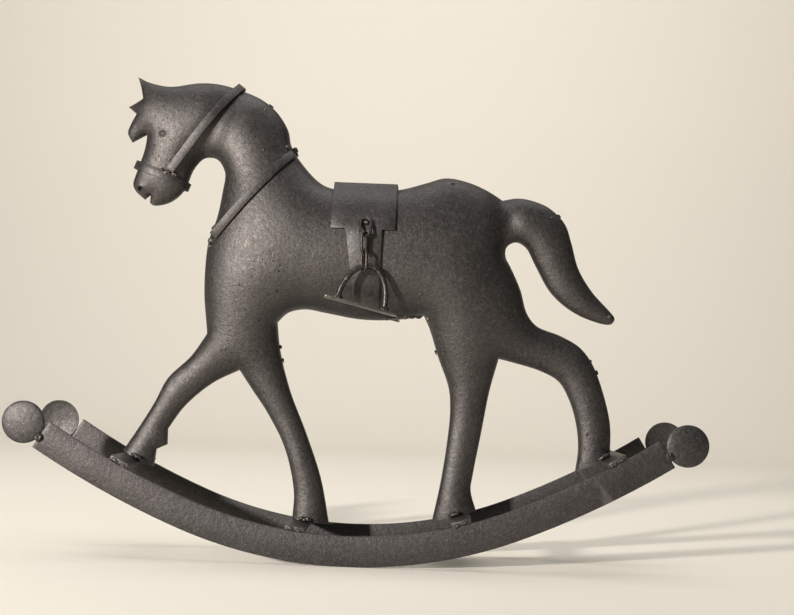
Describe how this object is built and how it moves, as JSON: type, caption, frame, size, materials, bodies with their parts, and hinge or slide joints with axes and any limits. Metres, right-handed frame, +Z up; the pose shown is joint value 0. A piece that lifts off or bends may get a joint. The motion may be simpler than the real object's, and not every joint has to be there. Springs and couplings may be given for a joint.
{
  "type": "ornamental rocking horse",
  "caption": "Pressed and welded steel rocking horse on curved strip rockers, with a folded saddle plate, bridle straps and free-hanging chain stirrups.",
  "frame": {"origin": "on the floor, midway between the two rockers at their lowest point", "axes": "+Z up; the horse looks along -X, so its left side faces -Y; the rockers run along X"},
  "size_m": [0.602, 0.1088, 0.422],
  "materials": {
    "shell_paint": "matt dark grey-brown paint over pressed sheet steel, slightly pitted",
    "strip_paint": "matt dark grey-brown paint over flat steel strip",
    "fitting_paint": "matt dark grey-brown paint, worn on the rod and links",
    "weld_metal": "lumpy weld beads under the same paint"
  },
  "bodies": {
    "root": {"body_shell_left": "shell_paint", "body_shell_right": "shell_paint", "chain_link_1_left": "fitting_paint", "chain_link_1_right": "fitting_paint", "chain_weld_left": "weld_metal", "chain_weld_right": "weld_metal", "cheek_strap_left": "strip_paint", "cheek_strap_right": "strip_paint", "cross_slat_lead_forefoot": "strip_paint", "cross_slat_lead_hindfoot": "strip_paint", "cross_slat_trailing_forefoot": "strip_paint", "cross_slat_trailing_hindfoot": "strip_paint", "disc_weld_front_left": "weld_metal", "disc_weld_front_right": "weld_metal", "disc_weld_rear_left": "weld_metal", "disc_weld_rear_right": "weld_metal", "end_disc_front_left": "strip_paint", "end_disc_front_right": "strip_paint", "end_disc_rear_left": "strip_paint", "end_disc_rear_right": "strip_paint", "hoof_weld_lead_forefoot_left": "weld_metal", "hoof_weld_lead_forefoot_right": "weld_metal", "hoof_weld_lead_hindfoot_left": "weld_metal", "hoof_weld_lead_hindfoot_right": "weld_metal", "hoof_weld_trailing_forefoot_left": "weld_metal", "hoof_weld_trailing_forefoot_right": "weld_metal", "hoof_weld_trailing_hindfoot_left": "weld_metal", "hoof_weld_trailing_hindfoot_right": "weld_metal", "neck_strap_left": "strip_paint", "neck_strap_right": "strip_paint", "noseband": "strip_paint", "rocker_left": "strip_paint", "rocker_right": "strip_paint", "saddle_plate": "strip_paint", "seam_weld_1": "weld_metal", "seam_weld_2": "weld_metal", "seam_weld_3": "weld_metal", "seam_weld_4": "weld_metal", "seam_weld_5": "weld_metal", "seam_weld_6": "weld_metal", "seam_weld_7": "weld_metal", "seam_weld_8": "weld_metal", "seam_weld_9": "weld_metal"},
    "link_2_left": {"chain_link_2_left": "fitting_paint"},
    "link_3_left": {"chain_link_3_left": "fitting_paint"},
    "stirrup_left": {"stirrup_arch_left": "fitting_paint", "stirrup_tread_left": "fitting_paint", "stirrup_weld_front_left": "weld_metal", "stirrup_weld_rear_left": "weld_metal"},
    "link_2_right": {"chain_link_2_right": "fitting_paint"},
    "link_3_right": {"chain_link_3_right": "fitting_paint"},
    "stirrup_right": {"stirrup_arch_right": "fitting_paint", "stirrup_tread_right": "fitting_paint", "stirrup_weld_front_right": "weld_metal", "stirrup_weld_rear_right": "weld_metal"}
  },
  "joints": [
    {"name": "chain_swing_out_left", "type": "hinge", "parent": "root", "child": "link_2_left", "pos_m": [0.00105, -0.04227, 0.2833], "axis": [-1, 0, 0], "range_deg": [0, 60]},
    {"name": "chain_swing_back_left", "type": "hinge", "parent": "link_2_left", "child": "link_3_left", "pos_m": [0.00105, -0.04227, 0.26805], "axis": [-0.5446, -0.8387, 0], "range_deg": [-6, 40]},
    {"name": "stirrup_swing_left", "type": "hinge", "parent": "link_3_left", "child": "stirrup_left", "pos_m": [0.00105, -0.04227, 0.2528], "axis": [-0.5299, 0.848, 0], "range_deg": [-12, 16]},
    {"name": "chain_swing_out_right", "type": "hinge", "parent": "root", "child": "link_2_right", "pos_m": [0.00105, 0.04227, 0.2833], "axis": [1, 0, 0], "range_deg": [0, 60]},
    {"name": "chain_swing_back_right", "type": "hinge", "parent": "link_2_right", "child": "link_3_right", "pos_m": [0.00105, 0.04227, 0.26805], "axis": [0.5446, -0.8387, 0], "range_deg": [-6, 40]},
    {"name": "stirrup_swing_right", "type": "hinge", "parent": "link_3_right", "child": "stirrup_right", "pos_m": [0.00105, 0.04227, 0.2528], "axis": [0.5299, 0.848, 0], "range_deg": [-12, 16]}
  ]
}
